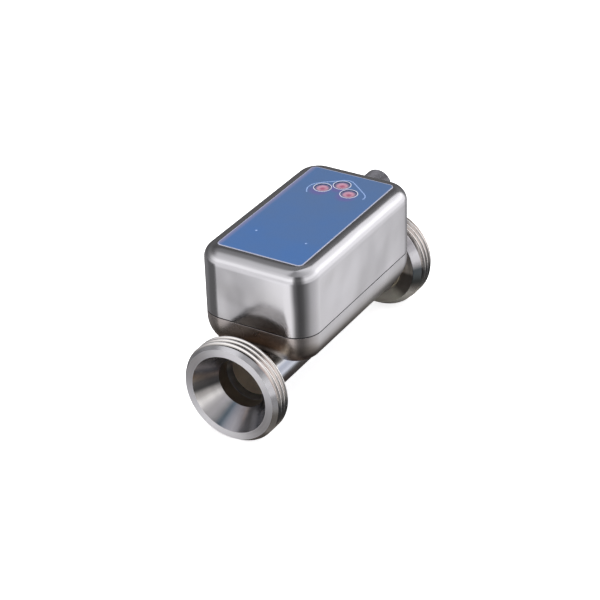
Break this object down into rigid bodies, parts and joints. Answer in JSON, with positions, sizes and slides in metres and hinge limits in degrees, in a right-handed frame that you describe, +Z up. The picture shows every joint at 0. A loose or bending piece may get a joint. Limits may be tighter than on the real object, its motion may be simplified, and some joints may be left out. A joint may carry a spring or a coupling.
{
  "type": "water flow sensor",
  "caption": "Inline water flow sensor: a straight steel tube with a threaded funnel-mouthed end each side, under a rounded steel housing with a blue window, optical keys and a round cable plug.",
  "frame": {"origin": "on the measuring tube's axis, at the middle of the housing's length", "axes": "+Y along the water way from inlet to outlet, +Z up out of the window, +X to the left of someone who looks along the flow"},
  "size_m": [0.0494, 0.1269, 0.0694],
  "materials": {
    "turned_steel": "fine turned",
    "drawn_steel": "satin, lightly polished",
    "tube_steel": "drawn tube, bright",
    "screw_steel": "plain",
    "blue_glass": "glass pane, printed blue on its back",
    "key_red": "clear, tinted red",
    "seal_black": "matt",
    "board_green": "solder mask",
    "display_grey": "gloss",
    "sensor_black": "matt",
    "wedge_tan": "machined",
    "piezo_ceramic": "silvered ceramic",
    "wire_red": "insulated wire",
    "brass_bars": "nickel-free brass",
    "contact_gold": "gold plated",
    "insert_black": "moulded",
    "flex_amber": "polyimide film"
  },
  "bodies": {
    "root": {"inlet_fitting": "turned_steel", "outlet_fitting": "turned_steel", "measuring_tube": "tube_steel", "base_pan": "drawn_steel", "housing_gasket": "seal_black", "housing_cover": "drawn_steel", "cover_screws": "screw_steel", "window_seal": "seal_black", "window_panel": "blue_glass", "left_key_lens": "key_red", "middle_key_lens": "key_red", "right_key_lens": "key_red", "key_sensors": "sensor_black", "display_module": "display_grey", "key_board": "board_green", "key_board_screws": "screw_steel", "main_board": "board_green", "board_standoffs": "brass_bars", "board_screws": "screw_steel", "inlet_wedge": "wedge_tan", "outlet_wedge": "wedge_tan", "inlet_piezo_disc": "piezo_ceramic", "outlet_piezo_disc": "piezo_ceramic", "inlet_piezo_lead": "wire_red", "outlet_piezo_lead": "wire_red", "inlet_wedge_clamp": "screw_steel", "outlet_wedge_clamp": "screw_steel", "clamp_screws": "screw_steel", "temperature_sensor": "sensor_black", "temperature_lead": "wire_red", "connector_body": "turned_steel", "connector_seal": "seal_black", "connector_nut": "screw_steel", "connector_insert": "insert_black", "connector_pins": "contact_gold", "connector_flex": "flex_amber", "board_link": "flex_amber"}
  },
  "joints": []
}
